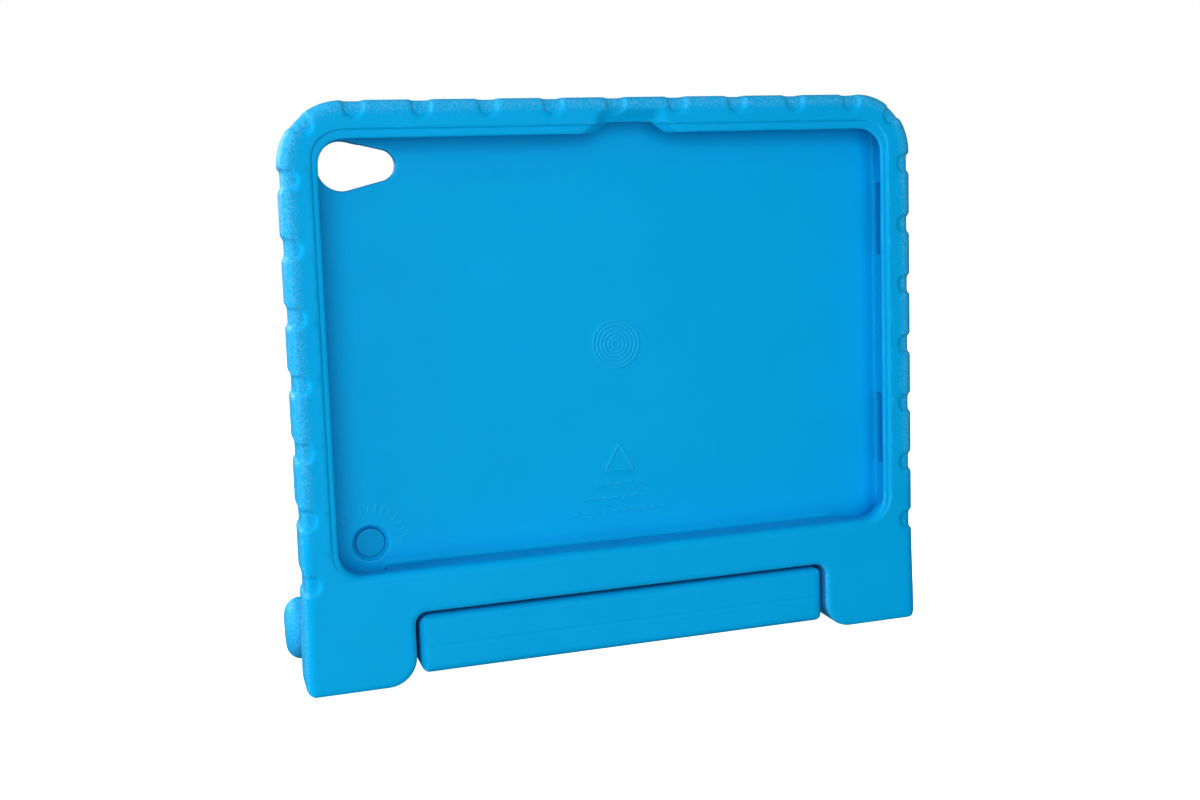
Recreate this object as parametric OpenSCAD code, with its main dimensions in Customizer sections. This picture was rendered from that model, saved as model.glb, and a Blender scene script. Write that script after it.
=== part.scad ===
// Foam tablet case for children, with a swinging carry handle that doubles as a stand.
// Front faces -Y, the feet stand on Z = 0, X runs left to right.

/* [Case shell] */
// Width of the foam shell, without the hinge knobs
case_w = 272.6; // [200:0.1:320]
// Height from the soles of the feet to the top of the rim
case_h = 237.4; // [180:0.1:300]
// Depth of the rim and the feet, front to back
case_d = 23.5; // [20:0.1:30]
// Radius of the two outer top corners
corner_r = 25; // [10:0.5:30]
// Radius of the two outer bottom corners
sole_corner_r = 4.5; // [1:0.5:8]
// Rounding of the outer rim edge, front and back
edge_r = 4; // [1:0.5:6]

/* [Tablet pocket] */
// Width of the pocket that holds the tablet
pocket_w = 249.2; // [180:0.1:290]
// Height of the pocket that holds the tablet
pocket_h = 179.8; // [120:0.1:220]
// Height of the pocket floor above the soles
pocket_z = 48.1; // [40:0.1:60]
// Radius of the pocket corners
pocket_r = 12; // [6:0.5:18]
// Depth of the pocket behind the lip
pocket_d = 7.2; // [6:0.1:10]
// Distance from the middle to the relief of a lower tablet corner
relief_x = 101.5; // [90:0.5:115]
// Height of the relief of a lower tablet corner
relief_h = 24; // [10:0.5:30]
// Depth of that relief below the pocket floor
relief_drop = 3; // [1:0.1:5]
// Height of the lower loudspeaker hollow above the soles
hollow_low_z = 71.5; // [60:0.5:100]
// Height of the upper loudspeaker hollow above the soles
hollow_high_z = 166.7; // [130:0.1:180]
// Length of a loudspeaker hollow
hollow_len = 32; // [10:0.5:40]
// Depth of a loudspeaker hollow into the side wall
hollow_deep = 5; // [2:0.1:7]

/* [Lip and panel] */
// Thickness of the front lip
lip_t = 7; // [4:0.1:9]
// Overlap of the lip over the tablet at the sides
lip_side = 3.1; // [1:0.1:5]
// Overlap of the lip over the tablet at the top
lip_top = 5.7; // [1:0.1:7]
// Radius of the inner corners of the lip
lip_r = 10; // [4:0.5:16]
// Width of the notch in the top lip, at its top
notch_top_w = 19; // [10:0.5:40]
// Width of the notch in the top lip, at its mouth
notch_mouth_w = 32; // [15:0.5:50]
// Sideways offset of the notch in the top lip
notch_x = 6.5; // [-20:0.5:20]
// Height of the notch
notch_h = 4.8; // [2:0.1:5]
// Thickness of the back panel
panel_t = 6.3; // [3:0.1:8]
// Width of the rim that stands proud of the back panel
back_rim = 17; // [10:0.5:30]
// Radius of the corners where the rim meets the back panel
back_r = 12; // [5:0.5:20]

/* [Grip scoops] */
// Spacing of the grip scoops along the rim
scoop_pitch = 26.8; // [20:0.1:40]
// Height of the uppermost scoop of each side
scoop_side_z = 207; // [190:0.5:215]
// Width of one scoop
scoop_w = 8.4; // [5:0.1:12]
// Depth of one scoop on the front, back and side faces of the rim
scoop_depth = 1.1; // [0.5:0.1:2.5]
// Depth of one scoop on the top face
scoop_top_depth = 0.5; // [0.2:0.1:2.5]
// Reach of a scoop onto the front and back faces
scoop_reach = 7.2; // [4:0.1:9]

/* [Camera window] */
// Sideways position of the large end
cam_x = -110.9; // [-120:0.1:-90]
// Height of the camera window above the soles
cam_z = 212; // [190:0.5:220]
// Radius of the large end
cam_r = 10; // [6:0.1:14]
// Radius of the small end
cam_small_r = 6.4; // [4:0.1:10]
// Distance between the two centres
cam_len = 15; // [8:0.1:30]

/* [Push-out plug] */
// Sideways position of the plug
plug_x = -107.1; // [-115:0.1:-90]
// Height of the plug above the soles
plug_z = 57.8; // [50:0.1:80]
// Radius of the plug
plug_r = 5.9; // [3:0.1:8]
// Radius of the round recess about the plug
plug_dish_r = 7.4; // [5:0.1:10]
// Depth of that recess
plug_dish_d = 1.7; // [0.5:0.1:3]
// Radius of the plug flange on the back of the panel
plug_flange_r = 8.5; // [7:0.1:11]
// Thickness of the plug flange
plug_flange_t = 1.3; // [0.8:0.1:2]

/* [Feet and handle] */
// Width of the gap between the feet
gap_w = 184; // [120:0.5:220]
// Height of the gap between the feet
gap_h = 29.9; // [20:0.1:40]
// Radius of the upper corners of the gap
gap_r = 5; // [2:0.5:10]
// Radius of the large curve at the inner bottom of each foot
foot_r = 12; // [6:0.5:16]
// Height of the handle bar
bar_h = 24.6; // [16:0.1:30]
// Depth of the handle bar
bar_d = 18; // [12:0.1:22]
// Rounding of the handle bar
bar_r = 3; // [1:0.5:8]
// Radius of the corners of the handle bar in the front view
bar_end_r = 4.5; // [1:0.5:8]
// Distance of the handle bar behind the front face
bar_y = 1; // [0:0.1:4]
// Ground clearance under the handle bar
bar_z = 3.9; // [2:0.1:10]
// Clearance between the handle and the feet
bar_gap = 1.5; // [0.5:0.1:3]
// Width of one handle arm
arm_w = 18.5; // [12:0.1:24]
// Distance from the front face to the stiff core
core_y = 6; // [4:0.1:10]
// Depth of the stiff core inside the bar
core_d = 8; // [4:0.1:12]
// Height of the lower face of the stiff core
core_z = 12; // [8:0.1:20]
// Height of the stiff core itself
core_h = 11; // [6:0.1:16]
// Thickness of the arm plates of the core
core_t = 6; // [3:0.1:8]

/* [Hinge] */
// Distance from the front face to the hinge axis
axis_y = 38; // [34:0.1:48]
// Height of the hinge axis above the soles
axis_z = 18.6; // [14:0.1:24]
// Radius of the hinge knuckles and knobs
knuckle_r = 13; // [10:0.1:14]
// Half distance between the outer faces of the knobs
knob_end_x = 142.2; // [138:0.1:150]
// Rounding of the outer edge of a knob
knob_round = 6; // [2:0.5:7]
// Half distance to the inner faces of the lugs
lug_in_x = 108.9; // [100:0.1:112]
// Length of one lug
lug_len = 14.2; // [10:0.1:18]
// Radius of the bolt shoulder
bolt_r = 4; // [3:0.1:5]
// Radius of the threaded end of the bolt
thread_r = 3; // [2:0.1:4]
// Length of the threaded end of the bolt
thread_len = 8.5; // [6:0.1:10]
// Length of the shoulder that enters the knob
shoulder_in = 3; // [1:0.1:4]
// Radius of the bolt head
head_r = 7; // [5:0.1:8]
// Thickness of the bolt head
head_t = 4; // [2:0.1:5]
// Half width of the hexagon socket, corner to centre
socket_r = 2.9; // [2:0.1:4]
// Depth of the hexagon socket
socket_d = 2.5; // [1:0.1:3]
// Radial running clearance of the bolt in its bushing and in the core
run_gap = 0.05; // [0.01:0.01:0.1]
// Outer radius of the bushing
bush_r = 7; // [6:0.1:9]
// Outer radius of the washers, the bushing flange and the core's eye
flange_r = 9; // [8:0.1:11]
// Thickness of the bushing flange
flange_t = 1.5; // [1:0.1:2]
// Thickness of a washer
washer_t = 1; // [0.5:0.1:2]
// Play beside each washer
washer_gap = 0.4; // [0.3:0.1:1]
// Radius of the threaded hub in a knob, and of the cap over the bolt head
hub_r = 8; // [6:0.1:10]
// Length of the threaded hub in a knob
hub_len = 13; // [10:0.1:14]
// Thickness of the cap over the bolt head
cap_t = 4; // [2:0.1:5]
// Clearance between pieces that are bonded or pressed together
fit = 0.1; // [0.05:0.01:0.2]

/* [Hidden] */
mid_y = (axis_y + knuckle_r) / 2;
panel_y = lip_t + pocket_d;
panel_back = panel_y + panel_t;
pocket_top = pocket_z + pocket_h;
lip_w = pocket_w - 2 * lip_side;
lip_h = pocket_h - lip_top;
lip_end = pocket_top - lip_top;
back_z = pocket_z - 1;
lug_out_x = lug_in_x + lug_len;
arm_out_x = gap_w / 2 - bar_gap;
arm_in_x = arm_out_x - arm_w;
knuckle_out_x = lug_in_x - washer_t - washer_gap;
knob_in_x = lug_out_x + washer_t + washer_gap;
head_x = arm_in_x + cap_t;
eye_x = head_x + head_t;
rim_foot_z = pocket_z - 20;
// cuts run this far past the faces they open
past = 1;
// two solids that become one overlap by this much
root = 6;
$fn = 64;

// Which node to draw

// --- helpers -------------------------------------------------------------

// Extrudes a front-view outline from depth y0 to depth y1.
module slab(y0, y1) {
  translate([0, y1, 0])
    rotate([90, 0, 0])
      linear_extrude(height = y1 - y0)
        children();
}

// Extrudes a side-view outline (depth, height) from x0 to x1.
module across(x0, x1) {
  translate([x0, 0, 0])
    rotate([90, 0, 90])
      linear_extrude(height = x1 - x0)
        children();
}

// Rounded rectangle from its low corner.
module round_rect(w, h, r) {
  translate([r, 0])
    square([w - 2 * r, h]);
  translate([0, r])
    square([w, h - 2 * r]);
  for (x = [r, w - r])
    for (y = [r, h - r])
      translate([x, y])
        circle(r = r);
}

// A solid round bar along X at the hinge axis.
module axle(x0, x1, r) {
  translate([x0, axis_y, axis_z])
    rotate([0, 90, 0])
      cylinder(h = x1 - x0, r = r);
}

// Places a right-hand piece, or its mirror image on the left.
module side(s) {
  if (s < 0)
    mirror([1, 0, 0]) children();
  else
    children();
}

// Moves the whole design so that the origin is under the middle of its box.
module placed() {
  translate([0, -mid_y, 0])
    children();
}

// --- case body -----------------------------------------------------------

// Front outline of the shell with its two feet.
module shell_outline() {
  difference() {
    union() {
      translate([-case_w / 2 + corner_r, 0])
        square([case_w - 2 * corner_r, case_h]);
      translate([-case_w / 2, sole_corner_r])
        square([case_w, case_h - corner_r - sole_corner_r]);
      translate([-case_w / 2 + sole_corner_r, 0])
        square([case_w - 2 * sole_corner_r, 2 * sole_corner_r]);
      for (s = [-1, 1]) {
        translate([s * (case_w / 2 - corner_r), case_h - corner_r])
          circle(r = corner_r);
        translate([s * (case_w / 2 - sole_corner_r), sole_corner_r])
          circle(r = sole_corner_r);
      }
    }
    // the gap between the feet, with round upper corners
    translate([-gap_w / 2, -2 * gap_r])
      round_rect(gap_w, gap_h + 2 * gap_r, gap_r);
    // the large curve at the inner bottom of each foot
    for (s = [-1, 1])
      foot_curve(s);
  }
}

// Cuts the inner bottom corner of one foot to a large radius.
module foot_curve(s) {
  difference() {
    translate([s * (gap_w / 2 + foot_r / 2 - past / 2), foot_r / 2 - past / 2])
      square([foot_r + past, foot_r + past], center = true);
    translate([s * (gap_w / 2 + foot_r), foot_r])
      circle(r = foot_r);
  }
}

// Outline of the rim above the feet, drawn in by g, with its two top corners.
module rim_outline(g) {
  translate([-case_w / 2 + corner_r, rim_foot_z])
    square([case_w - 2 * corner_r, case_h - rim_foot_z - g]);
  translate([-case_w / 2 + g, rim_foot_z])
    square([case_w - 2 * g, case_h - corner_r - rim_foot_z]);
  for (s = [-1, 1])
    translate([s * (case_w / 2 - corner_r), case_h - corner_r])
      circle(r = corner_r - g);
}

// Profile of the waste outside an edge rounding, corner at the origin.
module edge_waste(r) {
  difference() {
    translate([-r, -past])
      square([r + past, r + past]);
    translate([-r, r])
      circle(r = r);
  }
}

// Waste profile for the front edge (f = 1) or the back edge (f = -1), drawn in by g.
module rim_waste(f, g) {
  if (f > 0)
    translate([-g, g])
      edge_waste(edge_r - g);
  else
    translate([-g, case_d - g])
      mirror([0, 1])
        edge_waste(edge_r - g);
}

// The rounding along the sides, the top and the two top corners, drawn in by g.
module rim_rounding(f, g) {
  side_top = case_h - corner_r;
  for (s = [-1, 1])
    side(s) {
      translate([case_w / 2, 0, -past])
        linear_extrude(height = side_top + past)
          rim_waste(f, g);
      translate([case_w / 2 - corner_r, 0, side_top])
        rotate([90, 0, 0])
          rotate_extrude(angle = 90)
            translate([corner_r, 0])
              mirror([0, 1])
                rim_waste(f, g);
    }
  translate([-case_w / 2 + corner_r, 0, case_h])
    rotate([90, 0, 90])
      linear_extrude(height = case_w - 2 * corner_r)
        rotate(90)
          mirror([0, 1])
            rim_waste(f, g);
}

// The rim's outer form, drawn in by g: the floors of the grip scoops.
module rim_core(g) {
  difference() {
    slab(g, case_d - g)
      rim_outline(g);
    rim_rounding(1, g);
    rim_rounding(-1, g);
  }
}

// Front outline of one grip scoop: the rim's edge is at the origin, outwards is up.
module scoop_outline() {
  translate([0, scoop_w / 2 - scoop_reach])
    circle(r = scoop_w / 2);
  translate([-scoop_w / 2, scoop_w / 2 - scoop_reach])
    square([scoop_w, scoop_reach - scoop_w / 2 + past]);
}

// Front outline of all grip scoops.
module scoop_outlines() {
  for (i = [-4:4])
    translate([i * scoop_pitch, case_h])
      scoop_outline();
  for (s = [-1, 1]) {
    for (k = [0:6])
      translate([s * case_w / 2, scoop_side_z - k * scoop_pitch])
        rotate(-s * 90)
          scoop_outline();
    translate([s * (case_w / 2 - corner_r), case_h - corner_r])
      rotate(-s * 45)
        translate([0, corner_r])
          scoop_outline();
  }
}

// Cuts the grip scoops: of one depth all round the rim, but shallower on top.
module scoops() {
  difference() {
    slab(-past, case_d + past)
      scoop_outlines();
    translate([0, 0, scoop_depth - scoop_top_depth])
      rim_core(scoop_depth);
  }
}

// Camera window: two circles and the web between them, just inside their tangents.
module camera_outline() {
  lean = asin((cam_r - cam_small_r) / cam_len);
  big = cam_r - 0.05;
  small = cam_small_r - 0.05;
  circle(r = cam_r);
  translate([cam_len, 0])
    circle(r = cam_small_r);
  polygon([
    [big * sin(lean), big * cos(lean)],
    [cam_len + small * sin(lean), small * cos(lean)],
    [cam_len + small * sin(lean), -small * cos(lean)],
    [big * sin(lean), -big * cos(lean)]
  ]);
}

// Side outline of a lug: round about the hinge axis, rooted in the foot.
module lug_outline() {
  translate([axis_y, axis_z])
    circle(r = knuckle_r);
  translate([case_d - edge_r, axis_z - knuckle_r])
    square([axis_y - case_d + edge_r, 2 * knuckle_r]);
}

// The pocket with its relieved lower corners and loudspeaker hollows.
module pocket_room() {
  slab(lip_t, panel_y)
    translate([-pocket_w / 2, pocket_z])
      round_rect(pocket_w, pocket_h, pocket_r);
  for (s = [-1, 1])
    side(s) {
      slab(lip_t, panel_y)
        translate([relief_x, pocket_z - relief_drop])
          round_rect(pocket_w / 2 - relief_x, relief_h, relief_drop);
      for (z = [hollow_low_z, hollow_high_z])
        slab(lip_t + 1.5, panel_y - 1)
          translate([pocket_w / 2 - past, z])
            round_rect(hollow_deep + past, hollow_len, 1.5);
    }
}

// The openings through the lip and the panel.
module openings() {
  // the opening inside the lip
  slab(-past, lip_t + 0.5)
    translate([-lip_w / 2, pocket_z])
      round_rect(lip_w, lip_h, lip_r);
  // notch in the top lip
  slab(-past, lip_t + 0.5)
    polygon([
      [notch_x - notch_mouth_w / 2, lip_end - past],
      [notch_x - notch_mouth_w / 2, lip_end],
      [notch_x - notch_top_w / 2, lip_end + notch_h],
      [notch_x + notch_top_w / 2, lip_end + notch_h],
      [notch_x + notch_mouth_w / 2, lip_end],
      [notch_x + notch_mouth_w / 2, lip_end - past]
    ]);
  // camera window
  slab(panel_y - past, case_d + past)
    translate([cam_x, cam_z])
      camera_outline();
  // stepped hole of the plug
  slab(panel_y - past, panel_y + plug_dish_d)
    translate([plug_x, plug_z])
      circle(r = plug_dish_r);
  slab(panel_y, case_d + past)
    translate([plug_x, plug_z])
      circle(r = plug_r + fit);
  // the panel is set in from the back
  slab(panel_back, case_d + past)
    translate([-case_w / 2 + back_rim, back_z])
      round_rect(case_w - 2 * back_rim, case_h - back_z - back_rim, back_r);
}

module case_body() {
  color([0.02, 0.63, 0.87])
    placed()
      difference() {
        union() {
          difference() {
            slab(0, case_d)
              shell_outline();
            rim_rounding(1, 0);
            rim_rounding(-1, 0);
            scoops();
            pocket_room();
            openings();
          }
          for (s = [-1, 1])
            side(s)
              across(lug_in_x, lug_out_x)
                lug_outline();
        }
        // seats of the bushings
        for (s = [-1, 1])
          side(s) {
            axle(lug_in_x - past, lug_out_x + past, bush_r + fit);
            axle(lug_in_x - past, lug_in_x + flange_t + fit, flange_r + fit);
          }
      }
}

// --- push-out plug -------------------------------------------------------

module push_out_plug() {
  color([0.01, 0.55, 0.80])
    placed() {
      slab(panel_y + plug_dish_d / 2, panel_back + fit + plug_flange_t / 2)
        translate([plug_x, plug_z])
          circle(r = plug_r);
      slab(panel_back + fit, panel_back + fit + plug_flange_t)
        translate([plug_x, plug_z])
          circle(r = plug_flange_r);
    }
}

// --- handle --------------------------------------------------------------

// Side outline of the handle bar.
module bar_outline() {
  translate([bar_y, bar_z])
    round_rect(bar_d, bar_h, bar_r);
}

// Side outline of an arm without its round knuckle.
module arm_outline() {
  bar_outline();
  translate([bar_d - root, axis_z - knuckle_r])
    square([axis_y - bar_d + root, bar_z + bar_h - axis_z + knuckle_r]);
}

// Front outline of what is cut off the two right-hand corners of the bar.
module bar_corners() {
  translate([arm_out_x, bar_z])
    edge_waste(bar_end_r);
  translate([arm_out_x, bar_z + bar_h])
    mirror([0, 1])
      edge_waste(bar_end_r);
}

// The stiff core as a solid, grown by g for its seat in the foam.
module core_solid(g) {
  // long bar
  translate([-arm_out_x + core_t - g, core_y - g, core_z - g])
    cube([2 * (arm_out_x - core_t + g), core_d + 2 * g, core_h + 2 * g]);
  for (s = [-1, 1])
    side(s) {
      // arm plate
      translate([eye_x - g, core_y - g, core_z - g])
        cube([core_t + 2 * g, axis_y - core_y + 2 * g, core_h + 2 * g]);
      // eye about the bolt
      axle(eye_x - g, knuckle_out_x, flange_r + g);
    }
}

module handle_foam() {
  color([0.02, 0.62, 0.88])
    placed()
      difference() {
        union() {
          difference() {
            union() {
              across(-arm_out_x, arm_out_x)
                bar_outline();
              for (s = [-1, 1])
                side(s)
                  across(arm_in_x, arm_out_x)
                    arm_outline();
            }
            for (s = [-1, 1])
              side(s)
                slab(-past, axis_y + past)
                  bar_corners();
          }
          for (s = [-1, 1])
            side(s)
              axle(arm_in_x, knuckle_out_x, knuckle_r);
        }
        core_solid(fit);
        for (s = [-1, 1])
          side(s) {
            // room for the bolt head and its cap
            axle(head_x - fit, head_x + head_t + 2 * fit, head_r + fit);
            axle(arm_in_x - past, head_x, hub_r + fit);
            // the eye is open towards the lug
            axle(knuckle_out_x - past / 2, knuckle_out_x + past, flange_r + fit);
          }
      }
}

module handle_core() {
  color([0.16, 0.17, 0.18])
    placed()
      difference() {
        core_solid(0);
        for (s = [-1, 1])
          side(s)
            axle(head_x, knuckle_out_x + past, bolt_r + run_gap);
      }
}

// --- hinge ---------------------------------------------------------------

// Flanged sleeve moulded into a lug.
module hinge_bushing(s) {
  color([0.12, 0.12, 0.13])
    placed()
      side(s)
        difference() {
          union() {
            axle(lug_in_x, lug_out_x, bush_r);
            axle(lug_in_x, lug_in_x + flange_t, flange_r);
          }
          axle(lug_in_x - past, lug_out_x + past, bolt_r + run_gap);
        }
}

// Shoulder bolt with a low head, a hexagon socket and a threaded end.
module hinge_bolt(s) {
  color([0.62, 0.63, 0.65])
    placed()
      side(s)
        difference() {
          union() {
            axle(head_x, head_x + head_t, head_r);
            axle(head_x + head_t, knob_in_x + shoulder_in, bolt_r);
            axle(knob_in_x + shoulder_in, knob_in_x + shoulder_in + thread_len, thread_r);
          }
          translate([head_x - past, axis_y, axis_z])
            rotate([0, 90, 0])
              cylinder(h = socket_d + past, r = socket_r, $fn = 6);
        }
}

module washer(x0) {
  difference() {
    axle(x0, x0 + washer_t, flange_r);
    axle(x0 - past, x0 + washer_t + past, bolt_r + fit);
  }
}

module hinge_washer_inner(s) {
  color([0.88, 0.88, 0.86])
    placed()
      side(s)
        washer(knuckle_out_x);
}

module hinge_washer_outer(s) {
  color([0.88, 0.88, 0.86])
    placed()
      side(s)
        washer(knob_in_x - washer_t);
}

// Half section of a domed knob, turned about the hinge axis.
module knob_section() {
  len = knob_end_x - knob_in_x;
  square([knuckle_r - knob_round, len]);
  square([knuckle_r, len - knob_round]);
  translate([knuckle_r - knob_round, len - knob_round])
    intersection() {
      circle(r = knob_round);
      square([knob_round + past, knob_round + past]);
    }
}

module hinge_knob(s) {
  color([0.02, 0.62, 0.88])
    placed()
      side(s)
        difference() {
          translate([knob_in_x, axis_y, axis_z])
            rotate([0, 90, 0])
              rotate_extrude()
                knob_section();
          axle(knob_in_x - past, knob_in_x + hub_len + fit, hub_r + fit);
        }
}

// Threaded hub bonded into a knob.
module knob_hub(s) {
  color([0.12, 0.12, 0.13])
    placed()
      side(s)
        difference() {
          axle(knob_in_x, knob_in_x + hub_len, hub_r);
          axle(knob_in_x - past, knob_in_x + shoulder_in + fit, bolt_r + fit);
          axle(knob_in_x, knob_in_x + shoulder_in + thread_len + 2 * fit, thread_r + fit);
        }
}

// Disc that closes the arm over the bolt head.
module bolt_cap(s) {
  color([0.01, 0.50, 0.76])
    placed()
      side(s)
        axle(arm_in_x, head_x - fit, hub_r);
}

// --- one line per node ---------------------------------------------------

case_body();
push_out_plug();
handle_foam();
handle_core();
hinge_bushing(-1);  // hinge_bushing_left
hinge_bushing(1);  // hinge_bushing_right
hinge_bolt(-1);  // hinge_bolt_left
hinge_bolt(1);  // hinge_bolt_right
hinge_washer_inner(-1);  // hinge_washer_inner_left
hinge_washer_inner(1);  // hinge_washer_inner_right
hinge_washer_outer(-1);  // hinge_washer_outer_left
hinge_washer_outer(1);  // hinge_washer_outer_right
hinge_knob(-1);  // hinge_knob_left
hinge_knob(1);  // hinge_knob_right
knob_hub(-1);  // knob_hub_left
knob_hub(1);  // knob_hub_right
bolt_cap(-1);  // bolt_cap_left
bolt_cap(1);  // bolt_cap_right
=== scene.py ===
"""Foam tablet case with a swinging carry handle: its finished look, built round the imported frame.

Lengths are in metres. X runs left to right, Y from the front to the back, Z up from the soles.
"""

import math

import bmesh
import bpy
import numpy as np
from bpy.props import (
    FloatProperty,
    FloatVectorProperty,
    IntProperty,
    PointerProperty,
    StringProperty,
)
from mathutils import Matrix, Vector


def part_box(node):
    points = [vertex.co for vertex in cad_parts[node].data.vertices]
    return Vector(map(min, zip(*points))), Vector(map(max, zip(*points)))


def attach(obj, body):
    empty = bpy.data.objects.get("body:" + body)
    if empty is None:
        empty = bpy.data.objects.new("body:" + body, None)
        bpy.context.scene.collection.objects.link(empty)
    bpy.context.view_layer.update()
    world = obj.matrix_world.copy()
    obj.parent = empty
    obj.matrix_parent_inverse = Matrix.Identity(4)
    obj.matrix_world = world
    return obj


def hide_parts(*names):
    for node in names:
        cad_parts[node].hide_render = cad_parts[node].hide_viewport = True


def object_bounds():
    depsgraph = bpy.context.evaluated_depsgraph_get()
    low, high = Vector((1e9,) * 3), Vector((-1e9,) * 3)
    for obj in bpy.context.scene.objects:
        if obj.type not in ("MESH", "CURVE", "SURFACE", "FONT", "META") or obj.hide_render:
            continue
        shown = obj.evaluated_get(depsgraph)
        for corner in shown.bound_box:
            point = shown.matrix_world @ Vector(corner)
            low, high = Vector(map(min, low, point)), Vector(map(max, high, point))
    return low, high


bl_info = {
    "name": "Foam Tablet Case",
    "version": (1, 0, 0),
    "blender": (4, 5, 0),
    "location": "View3D > Sidebar > Foam Case",
    "description": "Builds the soft foam skin, marks and finishes of a tablet case with a handle",
    "category": "Object",
}

MM = 0.001

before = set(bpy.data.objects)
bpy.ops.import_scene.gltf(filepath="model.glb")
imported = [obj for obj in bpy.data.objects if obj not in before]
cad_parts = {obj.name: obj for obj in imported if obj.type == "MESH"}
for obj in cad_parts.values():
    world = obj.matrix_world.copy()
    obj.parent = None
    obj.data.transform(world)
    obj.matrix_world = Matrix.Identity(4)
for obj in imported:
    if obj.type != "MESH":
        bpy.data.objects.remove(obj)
CAD_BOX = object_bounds()
CASE_LOW, CASE_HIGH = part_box("case_body")
FRONT = CASE_LOW.y
# the rim's back face; the lugs behind the feet reach further
RIM_BACK = FRONT + 23.5 * MM
# from the back of the lip to the panel
POCKET_DEPTH = 7.2 * MM
OUTER_RADIUS = 25 * MM
# the notch in the top lip: its middle, its half widths at the mouth and the top, its height
NOTCH_MIDDLE = 6.5 * MM
NOTCH_MOUTH = 16 * MM
NOTCH_TOP = 9.5 * MM
NOTCH_HEIGHT = 4.8 * MM
# the gap between the feet, and the round inner corner of a foot
GAP_HALF = 92 * MM
GAP_TOP = 29.9 * MM
GAP_RADIUS = 5 * MM
FOOT_RADIUS = 12 * MM
# from the middle to the outer face of the handle's bar ends, and the rounding of their edges
ARM_OUT = 90.5 * MM
BAR_END_ROUND = 3.6 * MM
# the handle's parting line: its height above the handle's lowest point, half width and depth
PARTING_HEIGHT = 11.3 * MM
PARTING_WIDTH = 0.4 * MM
PARTING_DEPTH = 0.2 * MM
# half widths of the raised lines and dashes
LINE_HALF = 0.42 * MM
DASH_HALF = 0.45 * MM
# how far from the panel a point may lie and still belong to it
PANEL_SLACK = 0.15 * MM
WELD = 0.001 * MM


# --- settings ------------------------------------------------------------


class FoamShellSettings(bpy.types.PropertyGroup):
    """Sizes and colour of the moulded foam shell."""

    colour: StringProperty(
        name="Foam colour",
        description="Colour of the moulded foam, as an sRGB hex value",
        default="#00B1E6",
    )
    plug_colour: StringProperty(
        name="Plug colour",
        description="Colour of the push-out plug, as an sRGB hex value",
        default="#00A2D2",
    )
    step: FloatProperty(
        name="Skin step",
        description="Spacing of the points of the foam's skin",
        default=0.7 * MM,
        unit="LENGTH",
        precision=5,
    )
    faces: IntProperty(
        name="Skin triangles",
        description="Most triangles that the finished shell may have",
        default=190000,
    )
    lip_half_width: FloatProperty(
        name="Lip half width",
        description="From the middle of the case to the side of the lip opening",
        default=121.5 * MM,
        unit="LENGTH",
    )
    lip_low: FloatProperty(
        name="Lip bottom",
        description="Height of the lower edge of the lip opening above the soles",
        default=48.1 * MM,
        unit="LENGTH",
    )
    lip_high: FloatProperty(
        name="Lip top",
        description="Height of the upper edge of the lip opening above the soles",
        default=222.2 * MM,
        unit="LENGTH",
    )
    lip_radius: FloatProperty(
        name="Lip corner radius",
        description="Radius of the corners of the lip opening",
        default=10 * MM,
        unit="LENGTH",
    )
    lip_thickness: FloatProperty(
        name="Lip thickness",
        description="From the front face to the back of the lip",
        default=7 * MM,
        unit="LENGTH",
    )
    band_width: FloatProperty(
        name="Lip band width",
        description="Width of the band round the lip opening that lies a little deeper",
        default=2.7 * MM,
        unit="LENGTH",
    )
    band_extra: FloatProperty(
        name="Lip band extra",
        description="How much wider that band is along the top",
        default=1.1 * MM,
        unit="LENGTH",
    )
    band_depth: FloatProperty(
        name="Lip band depth",
        description="How much deeper than the rim that band lies",
        default=0.8 * MM,
        unit="LENGTH",
    )
    undercut: FloatProperty(
        name="Lip undercut",
        description="How far the back of the lip leans outwards behind its front edge",
        default=2.4 * MM,
        unit="LENGTH",
    )
    flare: FloatProperty(
        name="Foot flare",
        description="How far the outer faces of the feet spread out at the soles",
        default=0.8 * MM,
        unit="LENGTH",
    )
    ring_radius: FloatProperty(
        name="Ring mark radius",
        description="Outer radius of the raised rings in the middle of the panel",
        default=10.5 * MM,
        unit="LENGTH",
    )
    relief: FloatProperty(
        name="Mark relief",
        description="How far the moulded marks stand up from the panel",
        default=0.22 * MM,
        unit="LENGTH",
        precision=5,
    )


class HandleSettings(bpy.types.PropertyGroup):
    """Sizes and colour of the handle, its knobs and its caps."""

    colour: StringProperty(
        name="Handle colour",
        description="Colour of the handle's foam, as an sRGB hex value",
        default="#00B1E6",
    )
    cap_colour: StringProperty(
        name="Cap colour",
        description="Colour of the caps over the bolt heads, as an sRGB hex value",
        default="#0099C8",
    )
    step: FloatProperty(
        name="Skin step",
        description="Spacing of the points of the handle's skin",
        default=0.6 * MM,
        unit="LENGTH",
        precision=5,
    )
    faces: IntProperty(
        name="Skin triangles",
        description="Most triangles that the finished handle may have",
        default=120000,
    )
    knob_round: FloatProperty(
        name="Knob rounding",
        description="Radius of the outer edge of a knob",
        default=5.5 * MM,
        unit="LENGTH",
    )


class StageSettings(bpy.types.PropertyGroup):
    """Camera and the strength of the studio light."""

    camera_place: FloatVectorProperty(
        name="Camera place",
        description="Where the camera stands",
        default=(-0.17384, -0.57294, 0.20192),
        subtype="TRANSLATION",
        unit="LENGTH",
    )
    camera_turn: FloatVectorProperty(
        name="Camera turn",
        description="The camera's X, Y and Z rotation",
        default=(math.radians(83.766), math.radians(1.738), math.radians(-17.572)),
        subtype="EULER",
    )
    lens: FloatProperty(
        name="Lens",
        description="Focal length in millimetres on a sensor 36 mm wide",
        default=41.434,
    )
    light: FloatProperty(
        name="Light",
        description="Overall strength of the studio light",
        default=1.0,
        subtype="FACTOR",
    )


# --- materials -----------------------------------------------------------


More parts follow.
